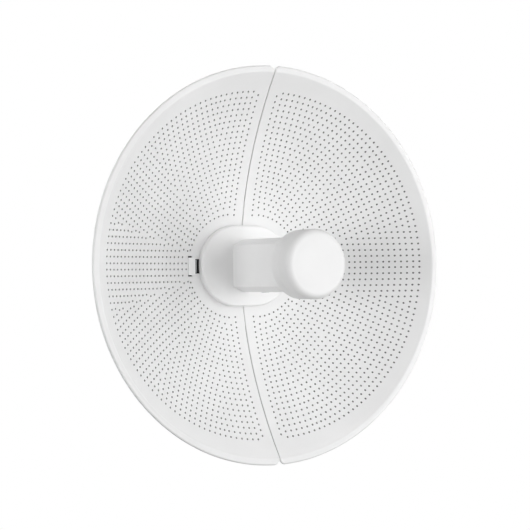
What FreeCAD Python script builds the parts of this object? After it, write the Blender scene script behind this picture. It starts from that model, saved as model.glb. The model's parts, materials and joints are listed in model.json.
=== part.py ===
"""Outdoor wireless bridge: a 5 GHz radio in a feed, in front of a split dish on a tilting pole mount.

Row frame, in millimetres: the origin is the axis of the pole that the mount clamps, level with the
elevation pivot. +Z is up along the pole, and the dish looks along -Y.
"""
import FreeCAD, Part
import math
import os

V = FreeCAD.Vector
X_AXIS, Y_AXIS, Z_AXIS = V(1, 0, 0), V(0, 1, 0), V(0, 0, 1)
SIDES = (-1, 1)

# ---- clearances ----
seat_gap = 0.15        # between pieces that lie against each other on a curved face
slide_gap = 0.3        # between pieces that slide past each other
run_gap = 0.05         # a shaft in the hole that it turns or slides in
bolt_gap = 0.3         # a fastener in its clearance hole
yoke_gap = 0.5         # between the bracket's ears and the yoke's
cut_over = 1.0         # how far a cutting shape goes past what it cuts
cut_ahead = 30.0       # how far one that goes through the dish's middle starts ahead of the vertex
same_place = 0.01      # within which two edges are taken to be in one plane

# ---- pole mount ----
pole_radius = 25.0
saddle_wall = 6.0      # of the saddle and the jaw, behind the pole's surface
saddle_half_width = 46.0
saddle_half_height = 34.0
saddle_lip = 3.0       # the seats stop this far short of the pole's middle
clamp_bolt_x = 37.0
clamp_bolt_z = 24.0
clamp_travel = 10.0
saddle_corner = 5.0    # rounding of the blocks' upright edges
pocket_floor = 6.0     # the blocks' pockets end this far short of the pole's surface
pocket_inner = 7.0     # from the bolts' axes to the pockets' sides towards the pole
pocket_outer = 5.0     # and away from it
pocket_drop = 9.0      # from the bolts' axes to the pockets' ends
bolt_end = 3.0         # of a bolt's thread past its nut
pivot_to_pole = 60.0
tilt_limit = 20.0      # degrees, up or down
ear_thick = 4.0
ear_inner = 22.0       # half the space between the bracket's ears
ear_nose = 14.0        # from the pivot to the ears' front edge
ear_inset = 4.0        # the ears' roots end this far short of the saddle's top and bottom
ear_margin = 3.0       # of the ears above the lock bolts' heads
ear_top_back = 10.0    # from the lock bolts to the ends of the ears' top edge
ear_top_front = 9.0
ear_bevel = 12.0       # drop of the ears' bevelled front corner
ear_chin = 6.0         # of the front edge, below the pivot
ear_chin_front = 4.0   # from the pivot to the ends of the ears' bottom edge
ear_chin_back = 8.0
ear_chin_drop = 2.0    # fall of that edge towards the back
low_head = 2.4         # height of the heads inside the ears
yoke_thick = 3.0
yoke_corner = 6.0      # rounding of the yoke's and the boss's corners
yoke_window_gap = 1.0  # between the yoke's window and the tube round the neck
yoke_ear_reach = 16.0  # how far the yoke's ears go past the pivot
lock_radius = 24.0     # from the pivot to the lock bolts
yoke_ear_radius = 32.0
yoke_screw_x = 23.0
yoke_screw_z = 35.0
yoke_screw_length = 11.0
ground_z = -34.0
ground_screw_short = 0.2  # of the boss behind the yoke

# ---- reflector ----
dish_radius = 186.0
rim_flange = 6.0       # the flat rim outside the parabola
focal_length = 117.0
sheet = 1.0
seam_gap = 0.7
seam_flange = 9.0      # depth of the turned-back edge along the seam
rim_curl = 1.8         # radius of the rim's curled edge
rim_drop = 2.6         # how far the curled edge reaches back
rim_corner = 6.0       # rounding of the rim's corners at the seam
seam_screw_z = 118.0
seam_nut_flats = 5.5
seam_nut_height = 2.4
seam_screw_end = 1.6   # of its thread past the nut
seam_clear = 2.55      # from the backplate to the turned-back edge along the seam
neck_hole_gap = 1.0    # of the sheet round the neck
pivot_to_vertex = 52.0

# ---- radio housing ----
hub_straight = 10.2    # half the straight stretch of the hub's oval
hub_radius = 39.1
hub_front = 12.0       # from the vertex to the hub's flat face
hub_edge = 2.2         # rounding of the hub's edge
hub_boss = 4.0         # radius of the bosses for the hub's screws
pilot_floor = 0.5      # of plastic more than the wall ahead of their pilot holes
wall = 2.0
neck_width = 31.0
neck_height = 50.4
neck_chamfer_x = 11.4
neck_chamfer_z = 5.3
tail_length = 27.0     # behind the vertex
feed_length = 138.8    # from the vertex to the cap's front
cap_length = 15.1
drum_length = 12.3     # of the housing, behind the cap
flare_length = 19.0    # from the neck to the drum
drum_radius = 31.5
cap_edge = 6.0         # rounding of the cap's front
joint_bevel = 0.4      # of the edges where the cap meets the drum
spigot_length = 6.0
seal_radius = 0.7
seal_sunk = 0.6        # from the spigot's surface to the middle of the seal
groove_depth = 1.3
groove_half = 1.0      # half the groove's width

# ---- electronics ----
board_thick = 1.6
board_inset = 8.5      # from the neck's inner side to the board's component face
board_edge = 5.2       # from the neck's inner top or bottom to the board's edge
board_gap = 4.0        # from the board's front edge to the flare
board_hole = 1.6
board_hole_inset = 3.0
jack_width = 16.0
jack_height = 13.5
jack_depth = 19.0
jack_mouth_width = 11.8
jack_mouth_height = 8.0
jack_mouth_depth = 13.0
jack_tab_width = 6.4
jack_tab_depth = 1.6
jack_spacing = 17.6
can_height = 3.0
can_wall = 0.3
can_edge = 1.0         # from the board's edge to the cans
rear_can_start = 8.0
rear_can_length = 32.0
front_can_gap = 4.0    # from the board's front edge
front_can_length = 19.0
pad_thick = 0.8
pad_start = 10.0
pad_end = 10.0         # from the board's front edge
pad_edge = 4.0         # from the board's edge to the pad
spreader_margin = 2.0  # of the spreader round the pad
spreader_thick = 1.5
fin_height = 2.3
fin_thick = 1.0
fin_pitch = 4.0
light_x = 0.0
light_y = 46.0         # ahead of the vertex
light_length = 9.0
light_width = 3.4
light_proud = 0.6
light_pipe = 0.9
light_pipe_pitch = 2.2
reset_y = 56.0
reset_recess = 0.9     # depth of the finger recess round the button
reset_recess_radius = 4.2
reset_radius = 2.2
reset_proud = 0.8      # above the recess's floor
reset_travel = 0.7
reset_collar = 1.2
reset_reach = 3.2      # of the button's foot past the neck's inner bottom
switch_height = 4.5
switch_width = 6.0
plunger_radius = 1.2
coax_radius = 1.1
coax_spacing = 16.0
disc_radius = 26.0
disc_thick = 1.0
disc_setback = 7.0     # from the cap's front
dipole_radius = 24.0
spacer_length = 15.0   # between the disc and the dipole board
spacer_radius = 14.0
spacer_wall = 2.0
spacer_end = 3.0       # whole stretch at each end of the spacer
spacer_slot = 10.0
holder_thick = 2.5
holder_overlap = 3.0

# ---- hub backplate and latches ----
plate_wall = 3.0
plate_radius = 58.0
plate_rim = 5.0        # how far the plate's edge reaches behind the vertex
plate_edge = 2.5       # width of that edge
rib_thick = 2.5
rib_angles = (90, 270, 32, 148, 212, 328)
boss_wall = 3.0
post_radius = 5.5      # of the posts that its screws go into
post_recess = 1.0      # of the posts and the neck's tube, inside the boss's back
plate_screw_x = 30.0
plate_screw_z = 24.0
plate_screw_length = 11.0
plate_screw_bore = 9.0 # depth behind the vertex
hub_screw_x = 37.0
hub_screw_z = 12.0
hub_screw_length = 10.5
boss_half_width = 30.0
boss_half_height = 40.0
boss_back = 14.0       # behind the vertex
latch_head_outer = 62.3
latch_head_inner = 54.4
latch_head_half = 8.3
latch_head_thick = 1.4
latch_head_edge = 0.7  # rounding of the head's edges
latch_overlap = 0.5    # of the arm and the ramp into the head
ramp_step = 3.6        # of the ramp inside the arm
ramp_tip = 4.0         # of the ramp's crest ahead of the vertex
ramp_foot = 3.0        # of its foot behind the vertex
latch_room = 1.5       # outside the head, for the spring of the arm
latch_arm_x = 57.6
latch_arm_thick = 2.4
latch_arm_half = 6.0
latch_wall = 2.5
latch_root = 10.0      # behind the vertex
window_half = 9.8
window_step = 57.4     # the window is narrow from here inwards
window_narrow_half = 6.8
window_inner = 47.5

# ---- port panel ----
panel_recess = 2.2     # of the panel's outer face inside the tail
panel_thick = 2.0
panel_screw_inset = 3.5  # from the neck's inner side
panel_screw_drop = 9.2  # from the neck's inner top or bottom
panel_boss = 2.9       # radius of the bosses that its screws go into
panel_boss_length = 5.0
panel_boss_floor = 1.0 # of the bosses below their holes
panel_screw_reach = 5.0  # of the screws past the gasket
window_margin = 0.6
gasket_thick = 1.0
ledge_width = 1.6
ledge_thick = 2.0

# ---- port cover ----
cover_depth = 23.0     # behind the tail
cover_overlap = 7.0
cover_corner = 5.0     # rounding of its back corners
rail_start = 1.5       # from the cover's front edge
rail_width = 3.0
rail_depth = 1.0
rail_root = 0.5        # of the ribs in the cover's sides
grip_pitch = 4.0
grip_half_length = 9.0
grip_half_width = 0.6
grip_height = 0.8
grip_root = 0.3
grommet_radius = 6.5
grommet_place = 11.0   # of its round end behind the tail
grommet_gap = 0.1
grommet_lip = 1.0      # how far the lips reach past the notch
lip_thick = 0.7
lip_height = 0.8       # of the lips' outer faces past the cover's wall
grommet_core = 6.0     # length of the block between the lips
cable_radius = 2.2
cable_spacing = 6.2
cable_place = 10.0     # of the cables' holes behind the tail

# ---- fasteners: shank radius, head radius, head height ----
M6 = (3.0, 5.5, 4.0)
M5 = (2.5, 4.5, 3.0)
M4 = (2.0, 3.6, 2.4)
M3 = (1.5, 2.7, 1.8)
nut_height = 5.0
washer_height = 1.5

# ---- places that follow ----
neck_inner_x = neck_width / 2 - wall
neck_inner_z = neck_height / 2 - wall
board_x = neck_inner_x - board_inset
board_half = neck_inner_z - board_edge
panel_screw_x = neck_inner_x - panel_screw_inset
panel_screw_z = neck_inner_z - panel_screw_drop
flare_end = feed_length - cap_length - drum_length
flare_start = flare_end - flare_length
board_front = flare_start - board_gap
front_can_start = board_front - front_can_gap - front_can_length
pad_length = board_front - pad_end - pad_start
disc_y = feed_length - disc_setback
dipole_y = disc_y - disc_thick - spacer_length
cover_inner = neck_width / 2 + slide_gap
rim_radius = dish_radius - rim_flange
pivot_y = -pivot_to_pole
vertex_y = pivot_y - pivot_to_vertex
yoke_inner = ear_inner + ear_thick + yoke_gap
yoke_outer = yoke_inner + yoke_thick
boss_y = vertex_y + boss_back
yoke_y = boss_y + yoke_thick
tail_y = vertex_y + tail_length
panel_y = tail_y - panel_recess
hub_face_y = vertex_y - hub_front
cap_y = vertex_y - feed_length + cap_length
front_y = vertex_y - feed_length
seam_start = plate_radius + seam_clear
plate_screw_place = (plate_screw_x, plate_screw_z)
hub_screw_place = (hub_screw_x, hub_screw_z)


# ---- plain shapes ----
def box(x0, x1, y0, y1, z0, z1):
    return Part.makeBox(x1 - x0, y1 - y0, z1 - z0, V(x0, y0, z0))


def rod(radius, length, start, axis):
    return Part.makeCylinder(radius, length, start, axis)


def rod_y(radius, y0, y1, x=0.0, z=0.0):
    return rod(radius, y1 - y0, V(x, y0, z), Y_AXIS)


def rod_x(radius, x0, x1, y=0.0, z=0.0):
    return rod(radius, x1 - x0, V(x0, y, z), X_AXIS)


def hexagon(across, height, start, axis):
    """A hexagonal prism, with its flats that far apart."""
    corner = across / math.sqrt(3)
    points = [V(corner * math.cos(math.radians(60 * k)), corner * math.sin(math.radians(60 * k)), 0)
              for k in range(7)]
    solid = Part.Face(Part.makePolygon(points)).extrude(V(0, 0, height))
    solid.Placement = FreeCAD.Placement(start, FreeCAD.Rotation(Z_AXIS, axis))
    return solid


def together(shapes):
    """One solid out of overlapping ones."""
    first, rest = shapes[0], shapes[1:]
    return first.fuse(rest).removeSplitter() if rest else first


def less(shape, tools):
    return shape.cut(tools) if tools else shape


def stadium(straight, radius, y0, y1):
    """An upright oval with straight top and bottom, extruded along Y."""
    corners = [V(-straight, y0, radius), V(straight, y0, radius), V(straight, y0, -radius),
               V(-straight, y0, -radius)]
    right = Part.Arc(corners[1], V(straight + radius, y0, 0), corners[2]).toShape()
    left = Part.Arc(corners[3], V(-straight - radius, y0, 0), corners[0]).toShape()
    top = Part.LineSegment(corners[0], corners[1]).toShape()
    bottom = Part.LineSegment(corners[2], corners[3]).toShape()
    return Part.Face(Part.Wire([top, right, bottom, left])).extrude(V(0, y1 - y0, 0))


def neck_corners(inset, y):
    """The eight corners of the neck's section, drawn in by inset."""
    half_x, half_z = neck_width / 2 - inset, neck_height / 2 - inset
    # a chamfer drawn in keeps its direction, so its ends move along the flats
    slant = math.hypot(neck_chamfer_x, neck_chamfer_z)
    cut_x = neck_chamfer_x - inset * (1 - (slant - neck_chamfer_x) / neck_chamfer_z)
    cut_z = cut_x * neck_chamfer_z / neck_chamfer_x
    quarter = [(half_x, half_z - cut_z), (half_x - cut_x, half_z)]
    ring = quarter + [(-x, z) for x, z in reversed(quarter)]
    ring += [(-x, -z) for x, z in ring]
    return [V(x, y, z) for x, z in ring]


def neck_bar(inset, y0, y1):
    points = neck_corners(inset, y0)
    return Part.Face(Part.makePolygon(points + points[:1])).extrude(V(0, y1 - y0, 0))


def flare(inset, y0, y1):
    """From the neck's section at y0 to the drum's circle at y1."""
    corners = neck_corners(inset, y0)
    angles = [math.atan2(p.z, p.x) for p in corners]
    round_radius = drum_radius - inset
    arcs, lines = [], []
    for k, point in enumerate(corners):
        following = corners[(k + 1) % len(corners)]
        start, end = angles[k], angles[(k + 1) % len(corners)]
        if end < start:
            end += 2 * math.pi
        places = [V(round_radius * math.cos(a), y1, round_radius * math.sin(a))
                  for a in (start, (start + end) / 2, end)]
        arcs.append(Part.Arc(*places).toShape())
        lines.append(Part.LineSegment(point, following).toShape())
    return Part.makeLoft([Part.Wire(lines), Part.Wire(arcs)], True, True)


# ---- the parabola ----
def dish_y(radius, back=0.0):
    """Y of the dish's front face at that radius, or of a face that lies back behind it."""
    slope = radius / (2 * focal_length)
    return vertex_y - radius * radius / (4 * focal_length) + back * math.hypot(1, slope)


def dish_curve(back, start, end, steps=9):
    points = [V(r, dish_y(r, back), 0)
              for r in (start + (end - start) * k / (steps - 1) for k in range(steps))]
    curve = Part.BSplineCurve()
    curve.interpolate(points)
    return curve.toShape()


def turned(edges):
    """The solid of revolution about the dish's axis of a closed outline in the XY plane."""
    return Part.Face(Part.Wire(edges)).revolve(V(0, 0, 0), Y_AXIS, 360)


def line(x0, y0, x1, y1):
    return Part.LineSegment(V(x0, y0, 0), V(x1, y1, 0)).toShape()


def dish_layer(front, back, radius):
    """The layer between two faces that lie front and back behind the dish's front face."""
    return turned([
        dish_curve(front, 0, radius),
        line(radius, dish_y(radius, front), radius, dish_y(radius, back)),
        dish_curve(back, 0, radius),
        line(0, dish_y(0, back), 0, dish_y(0, front)),
    ])


def space_before_dish(depth, radius):
    """What lies ahead of the dish's front face, less the seat gap, as far as depth from the vertex."""
    top = vertex_y - depth
    return turned([
        dish_curve(-seat_gap, 0, radius),
        line(radius, dish_y(radius, -seat_gap), radius, top),
        line(radius, top, 0, top),
        line(0, top, 0, dish_y(0, -seat_gap)),
    ])


def space_behind_dish(depth, radius):
    """What lies behind the dish's sheet, less the seat gap, as far as depth behind the vertex."""
    near, bottom = sheet + seat_gap, vertex_y + depth
    return turned([
        dish_curve(near, 0, radius),
        line(radius, dish_y(radius, near), radius, bottom),
        line(radius, bottom, 0, bottom),
        line(0, bottom, 0, dish_y(0, near)),
    ])


# ---- fasteners ----
def screw(kind, head_seat, direction, length):
    """A pan head screw: its head's underside at head_seat, its shank along direction."""
    shank, head, height = kind
    along = V(direction).normalize()
    body = rod(shank, length, head_seat, along)
    cap = rod(head, height, head_seat - along * height, along)
    recess = hexagon(shank * 1.2, height * 0.6, head_seat - along * height, along)
    return together([body, cap]).cut(recess)


def hex_bolt(kind, head_seat, direction, length):
    shank, head, height = kind
    along = V(direction).normalize()
    body = rod(shank, length, head_seat, along)
    return together([body, hexagon(2 * head * 0.9, height, head_seat - along * height, along)])


def hex_nut(kind, seat, direction):
    """A flange nut that stands on seat and reaches along direction."""
    shank, head, _ = kind
    along = V(direction).normalize()
    flange_height = nut_height * 0.3
    solid = together([
        hexagon(2 * head * 0.9, nut_height, seat, along),
        rod(head * 1.25, flange_height, seat, along),
    ])
    return solid.cut(rod(shank + run_gap, nut_height, seat, along))


def washer(kind, seat, direction):
    shank, head, _ = kind
    along = V(direction).normalize()
    ring = rod(head * 1.2, washer_height, seat, along)
    return ring.cut(rod(shank + bolt_gap, washer_height, seat, along))


# ---- pole mount ----
def pole_seat_block(side):
    """The saddle, side -1, or the jaw, side 1: half of a block round the pole."""
    outer = pole_radius + saddle_wall
    y0, y1 = sorted((side * saddle_lip, side * outer))
    block = box(-saddle_half_width, saddle_half_width, y0, y1, -saddle_half_height, saddle_half_height)
    upright = [e for e in block.Edges
               if abs(e.Vertexes[0].Z - e.Vertexes[-1].Z) > saddle_half_height
               and abs(e.CenterOfMass.y - side * outer) < cut_over]
    block = block.makeFillet(saddle_corner, upright)
    pole = rod(pole_radius, 2 * saddle_half_height, V(0, 0, -saddle_half_height), Z_AXIS)
    holes = [rod_y(M6[0] + bolt_gap, y0, y1, sx * clamp_bolt_x, sz * clamp_bolt_z)
             for sx in SIDES for sz in SIDES]
    pockets = [lightening_pocket(side, sx) for sx in SIDES]
    return less(block, [pole] + holes + pockets)


def lightening_pocket(side, sx):
    """A hollow in the block's lip side, between the bolts, as a casting has."""
    y0, y1 = sorted((side * saddle_lip, side * (pole_radius - pocket_floor)))
    x0, x1 = sorted((sx * (clamp_bolt_x - pocket_inner), sx * (clamp_bolt_x + pocket_outer)))
    end = clamp_bolt_z - pocket_drop
    return box(x0, x1, y0, y1, -end, end)


def ear_plate(inner, thick, outline, side):
    """A plate parallel to the YZ plane, from |x| = inner outwards."""
    x = side * inner
    face = Part.Face(Part.Wire(outline))
    face.translate(V(x, 0, 0))
    return face.extrude(V(side * thick, 0, 0))


def bracket_ear(side):
    saddle_y = -(pole_radius + saddle_wall)
    root = saddle_y + saddle_wall / 2
    half_root = saddle_half_height - ear_inset
    lift = lock_radius + M6[1] + ear_margin
    nose = pivot_y - ear_nose
    points = [V(0, root, -half_root), V(0, root, half_root), V(0, pivot_y + ear_top_back, lift),
              V(0, pivot_y - ear_top_front, lift), V(0, nose, lift - ear_bevel), V(0, nose, -ear_chin),
              V(0, pivot_y - ear_chin_front, -ear_nose),
              V(0, pivot_y + ear_chin_back, -ear_nose - ear_chin_drop)]
    outline = [Part.LineSegment(a, b).toShape() for a, b in zip(points, points[1:] + points[:1])]
    plate = ear_plate(ear_inner, ear_thick, outline, side)
    x0, x1 = sorted((side * ear_inner, side * (ear_inner + ear_thick)))
    holes = [rod_x(M6[0] + run_gap, x0, x1, pivot_y, 0),
             rod_x(M6[0] + run_gap, x0, x1, pivot_y, lock_radius)]
    return less(plate, holes)


def pole_bracket():
    return together([pole_seat_block(-1)] + [bracket_ear(side) for side in SIDES])


def clamp_jaw():
    return pole_seat_block(1)


def clamp_bolts():
    seat_y = -(pole_radius + saddle_wall)
    length = 2 * (pole_radius + saddle_wall) + washer_height + nut_height + clamp_travel + bolt_end
    return [hex_bolt(M6, V(sx * clamp_bolt_x, seat_y, sz * clamp_bolt_z), Y_AXIS, length)
            for sx in SIDES for sz in SIDES]


def clamp_washers():
    seat_y = pole_radius + saddle_wall
    return [washer(M6, V(sx * clamp_bolt_x, seat_y, sz * clamp_bolt_z), Y_AXIS)
            for sx in SIDES for sz in SIDES]


def clamp_nuts():
    seat_y = pole_radius + saddle_wall + washer_height
    return [hex_nut(M6, V(sx * clamp_bolt_x, seat_y, sz * clamp_bolt_z), Y_AXIS)
            for sx in SIDES for sz in SIDES]


def through_bolts(z):
    """Low-headed bolts from inside the bracket's ears, out through the yoke's ears."""
    kind = (M6[0], M6[1], low_head)
    length = (yoke_outer - ear_inner) + 2 * run_gap + washer_height + nut_height + bolt_end
    return [screw(kind, V(side * ear_inner, pivot_y, z), V(side, 0, 0), length) for side in SIDES]


def outer_washers(z):
    return [washer(M6, V(side * (yoke_outer + run_gap), pivot_y, z), V(side, 0, 0)) for side in SIDES]


def outer_nuts(z):
    x = yoke_outer + run_gap + washer_height
    return [hex_nut(M6, V(side * x, pivot_y, z), V(side, 0, 0)) for side in SIDES]


def arc_slot(side):
    """The yoke's slot for the lock bolt, as a row-long ring segment about the pivot."""
    reach = math.radians(tilt_limit)
    half = M6[0] + bolt_gap
    x = side * (yoke_inner - cut_over)

    def at(radius, angle):
        return V(x, pivot_y + radius * math.sin(angle), radius * math.cos(angle))

    outer = Part.Arc(at(lock_radius + half, -reach), at(lock_radius + half, 0), at(lock_radius + half, reach))
    inner = Part.Arc(at(lock_radius - half, reach), at(lock_radius - half, 0), at(lock_radius - half, -reach))
    ends = [Part.LineSegment(at(lock_radius + half, reach), at(lock_radius - half, reach)),
            Part.LineSegment(at(lock_radius - half, -reach), at(lock_radius + half, -reach))]
    face = Part.Face(Part.Wire([outer.toShape(), ends[0].toShape(), inner.toShape(), ends[1].toShape()]))
    length = yoke_thick + 2 * cut_over
    segment = face.extrude(V(side * length, 0, 0))
    rounds = [rod(half, length, at(lock_radius, a), V(side, 0, 0)) for a in (-reach, reach)]
    return [segment] + rounds


def yoke_ear(side):
    x0, x1 = sorted((side * yoke_inner, side * yoke_outer))
    disc = rod_x(yoke_ear_radius, x0, x1, pivot_y, 0)
    arm = box(x0, x1, boss_y, pivot_y, -yoke_ear_radius, yoke_ear_radius)
    plate = together([disc, arm])
    far = box(x0 - cut_over, x1 + cut_over, pivot_y + yoke_ear_reach, pivot_y + 2 * yoke_ear_radius,
              -yoke_ear_radius, yoke_ear_radius)
    pivot = rod_x(M6[0] + run_gap, x0, x1, pivot_y, 0)
    return less(plate, [far, pivot] + arc_slot(side))


def mount_yoke():
    base = box(-yoke_outer, yoke_outer, boss_y, yoke_y, -boss_half_height, boss_half_height)
    upright = [e for e in base.Edges if abs(e.Vertexes[0].Y - e.Vertexes[-1].Y) > yoke_thick / 2]
    base = base.makeFillet(yoke_corner, upright)
    window = neck_bar(-slide_gap - wall - yoke_window_gap, boss_y - cut_over, yoke_y + cut_over)
    holes = [rod_y(M5[0] + bolt_gap, boss_y, yoke_y, sx * yoke_screw_x, sz * yoke_screw_z)
             for sx in SIDES for sz in SIDES]
    holes.append(rod_y(M4[0] + run_gap, boss_y, yoke_y, 0, ground_z))
    return less(together([base] + [yoke_ear(side) for side in SIDES]), [window] + holes)


def yoke_screws():
    return [screw(M5, V(sx * yoke_screw_x, yoke_y, sz * yoke_screw_z), -Y_AXIS, yoke_screw_length)
            for sx in SIDES for sz in SIDES]


# ---- reflector ----
def rim_outline():
    """The sheet's section: the parabola, the flat rim flange, and its curled-back edge."""
    kink_y = dish_y(rim_radius)
    flat_end = dish_radius - rim_curl
    tip_y = kink_y + rim_drop
    inner_curl = rim_curl - sheet
    diagonal = math.sqrt(0.5)
    outer_arc = Part.Arc(V(flat_end, kink_y, 0),
                         V(flat_end + rim_curl * diagonal, kink_y + rim_curl * (1 - diagonal), 0),
                         V(dish_radius, kink_y + rim_curl, 0)).toShape()
    inner_arc = Part.Arc(V(dish_radius - sheet, kink_y + rim_curl, 0),
                         V(flat_end + inner_curl * diagonal,
                           kink_y + rim_curl - inner_curl * diagonal, 0),
                         V(flat_end, kink_y + sheet, 0)).toShape()
    back_y = dish_y(rim_radius, sheet)
    return [
        dish_curve(0, 0, rim_radius),
        line(rim_radius, kink_y, flat_end, kink_y),
        outer_arc,
        line(dish_radius, kink_y + rim_curl, dish_radius, tip_y),
        line(dish_radius, tip_y, dish_radius - sheet, tip_y),
        line(dish_radius - sheet, tip_y, dish_radius - sheet, kink_y + rim_curl),
        inner_arc,
        line(flat_end, kink_y + sheet, rim_radius, back_y),
        dish_curve(sheet, 0, rim_radius),
        line(0, dish_y(0, sheet), 0, dish_y(0)),
    ]


def seam_strip(side):
    """The turned-back edge of one half, along the seam."""
    strip = dish_layer(sheet / 2, seam_flange, rim_radius - rim_corner)
    x0, x1 = sorted((side * seam_gap / 2, side * (seam_gap / 2 + sheet)))
    kept = box(x0, x1, vertex_y - dish_radius, vertex_y + seam_flange, -dish_radius, dish_radius)
    middle = box(x0, x1, vertex_y - dish_radius, vertex_y + dish_radius, -seam_start, seam_start)
    holes = [rod_x(M3[0] + bolt_gap, x0, x1, seam_screw_y(), sz * seam_screw_z) for sz in SIDES]
    return less(strip.common(kept), [middle] + holes)


def seam_screw_y():
    return dish_y(seam_screw_z, (sheet + seam_flange) / 2)


def rim_corner_cut(side, up):
    """What rounds a half's rim corner beside the seam."""
    edge = seam_gap / 2
    x0, x1 = sorted((side * (edge - cut_over), side * (edge + rim_corner)))
    z0, z1 = sorted((up * (dish_radius - rim_corner), up * (dish_radius + cut_over)))
    y0, y1 = dish_y(rim_radius) - cut_over, dish_y(rim_radius) + 2 * seam_flange
    corner = box(x0, x1, y0, y1, z0, z1)
    return corner.cut(rod_y(rim_corner, y0, y1, side * (edge + rim_corner), up * (dish_radius - rim_corner)))


def latch_window(side):
    y0, y1 = vertex_y - cut_ahead, vertex_y + latch_root
    wide = [side * window_step, side * latch_head_outer]
    narrow = [side * window_inner, side * window_step]
    return [box(min(wide), max(wide), y0, y1, -window_half, window_half),
            box(min(narrow), max(narrow), y0, y1, -window_narrow_half, window_narrow_half)]


def reflector(side, sheet_solid):
    reach = dish_radius + cut_over
    edge = side * seam_gap / 2
    x0, x1 = sorted((edge, side * reach))
    half = sheet_solid.common(box(x0, x1, vertex_y - reach, vertex_y + 2 * sheet, -reach, reach))
    tools = [neck_bar(-neck_hole_gap, vertex_y - cut_ahead, vertex_y + 2 * sheet)]
    tools += latch_window(side)
    tools += [rim_corner_cut(side, up) for up in SIDES]
    tools += [rod_y(M4[0] + bolt_gap, vertex_y - cut_ahead, vertex_y + 2 * sheet, side * x, sz * z)
              for x, z in (plate_screw_place, hub_screw_place) for sz in SIDES]
    return together([less(half, tools), seam_strip(side)])


def seam_screws():
    x = seam_gap / 2 + sheet
    length = 2 * x + seam_nut_height + seam_screw_end
    return [screw(M3, V(-x, seam_screw_y(), sz * seam_screw_z), X_AXIS, length) for sz in SIDES]


def seam_nuts():
    x = seam_gap / 2 + sheet
    return [hexagon(seam_nut_flats, seam_nut_height, V(x, seam_screw_y(), sz * seam_screw_z), X_AXIS).cut(
        rod_x(M3[0] + run_gap, x, x + seam_nut_height, seam_screw_y(), sz * seam_screw_z)) for sz in SIDES]


# ---- hub backplate ----
def screw_seat(place, head):
    """Y of the dish's front face under the outer edge of a screw head."""
    return dish_y(math.hypot(*place) + head) - run_gap


def latch_pocket(side):
    """The room that a latch needs in the backplate."""
    x0, x1 = sorted((side * (latch_head_outer + latch_room), side * window_inner))
    return box(x0, x1, vertex_y - cut_ahead, vertex_y + latch_root, -window_half, window_half)


def latch_case(side):
    """The closed box round that room, with a floor for the latch's root."""
    x0, x1 = sorted((side * (latch_head_outer + latch_room + latch_wall),
                     side * (window_inner - latch_wall)))
    half = window_half + latch_wall
    return box(x0, x1, vertex_y - cut_ahead, vertex_y + latch_root + latch_wall, -half, half)


def hub_backplate():
    """The moulding behind the dish that the halves, the housing and the yoke are screwed to."""
    start = vertex_y - cut_ahead
    reach = plate_radius + hub_straight + cut_over
    plate = dish_layer(0, sheet + seat_gap + plate_wall, reach)
    rim_y = vertex_y + plate_rim
    ring = stadium(hub_straight, plate_radius + cut_over, start, rim_y)
    ring = ring.cut(stadium(hub_straight, plate_radius - plate_edge, start, rim_y))
    boss = box(-boss_half_width, boss_half_width, start, boss_y, -boss_half_height, boss_half_height)
    upright = [e for e in boss.Edges if abs(e.Vertexes[0].Y - e.Vertexes[-1].Y) > boss_back]
    boss = boss.makeFillet(yoke_corner, upright)
    inner_x, inner_z = boss_half_width - boss_wall, boss_half_height - boss_wall
    hollow = box(-inner_x, inner_x, vertex_y + sheet, boss_y - boss_wall, -inner_z, inner_z)
    tube = neck_bar(-slide_gap - 2 * wall, start, boss_y - post_recess)
    posts = [rod_y(post_radius, start, boss_y - post_recess, sx * x, sz * z)
             for x, z in ((yoke_screw_x, yoke_screw_z), plate_screw_place)
             for sx in SIDES for sz in SIDES]
    cases = [latch_case(side) for side in SIDES]
    ribs = []
    for angle in rib_angles:
        rib = box(boss_half_width, reach, start, rim_y, -rib_thick / 2, rib_thick / 2)
        rib.rotate(V(0, 0, 0), Y_AXIS, angle)
        ribs.append(rib)
    outline = stadium(hub_straight, plate_radius, start - cut_over, boss_y + cut_over)
    room = space_behind_dish(boss_back, reach - cut_over / 2).common(outline)
    body = together([plate, ring, boss.cut(hollow), tube] + posts + cases + ribs).common(room)
    tools = [neck_bar(-slide_gap - wall, start, boss_y + cut_over)]
    tools += [latch_pocket(side) for side in SIDES]
    tools += [rod_y(M4[0] + gap, start, end, sx * x, sz * z)
              for (x, z), gap, end in ((plate_screw_place, run_gap, vertex_y + plate_screw_bore),
                                       (hub_screw_place, bolt_gap, boss_y + cut_over))
              for sx in SIDES for sz in SIDES]
    tools += [rod_y(M5[0] + run_gap, vertex_y + sheet, boss_y + cut_over,
                    sx * yoke_screw_x, sz * yoke_screw_z)
              for sx in SIDES for sz in SIDES]
    return less(body, tools)


def plate_screws():
    x, z = plate_screw_place
    seat = screw_seat(plate_screw_place, M4[1])
    return [screw(M4, V(sx * x, seat, sz * z), Y_AXIS, plate_screw_length) for sx in SIDES for sz in SIDES]


def hub_screws():
    """From behind the backplate into the housing's bosses."""
    x, z = hub_screw_place
    radius = math.hypot(x, z)
    seat = dish_y(radius - M4[1], sheet + seat_gap + plate_wall) + run_gap
    return [screw(M4, V(sx * x, seat, sz * z), -Y_AXIS, hub_screw_length) for sx in SIDES for sz in SIDES]


def ground_washer():
    return washer(M4, V(0, yoke_y, ground_z), Y_AXIS)


def ground_screw():
    length = yoke_thick + washer_height - ground_screw_short
    return screw(M4, V(0, yoke_y + washer_height, ground_z), -Y_AXIS, length)


def latch_pivot_y():
    """Where the arm's rounded root turns, just clear of the case's floor."""
    return vertex_y + latch_root - latch_arm_thick / 2 - run_gap


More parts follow.
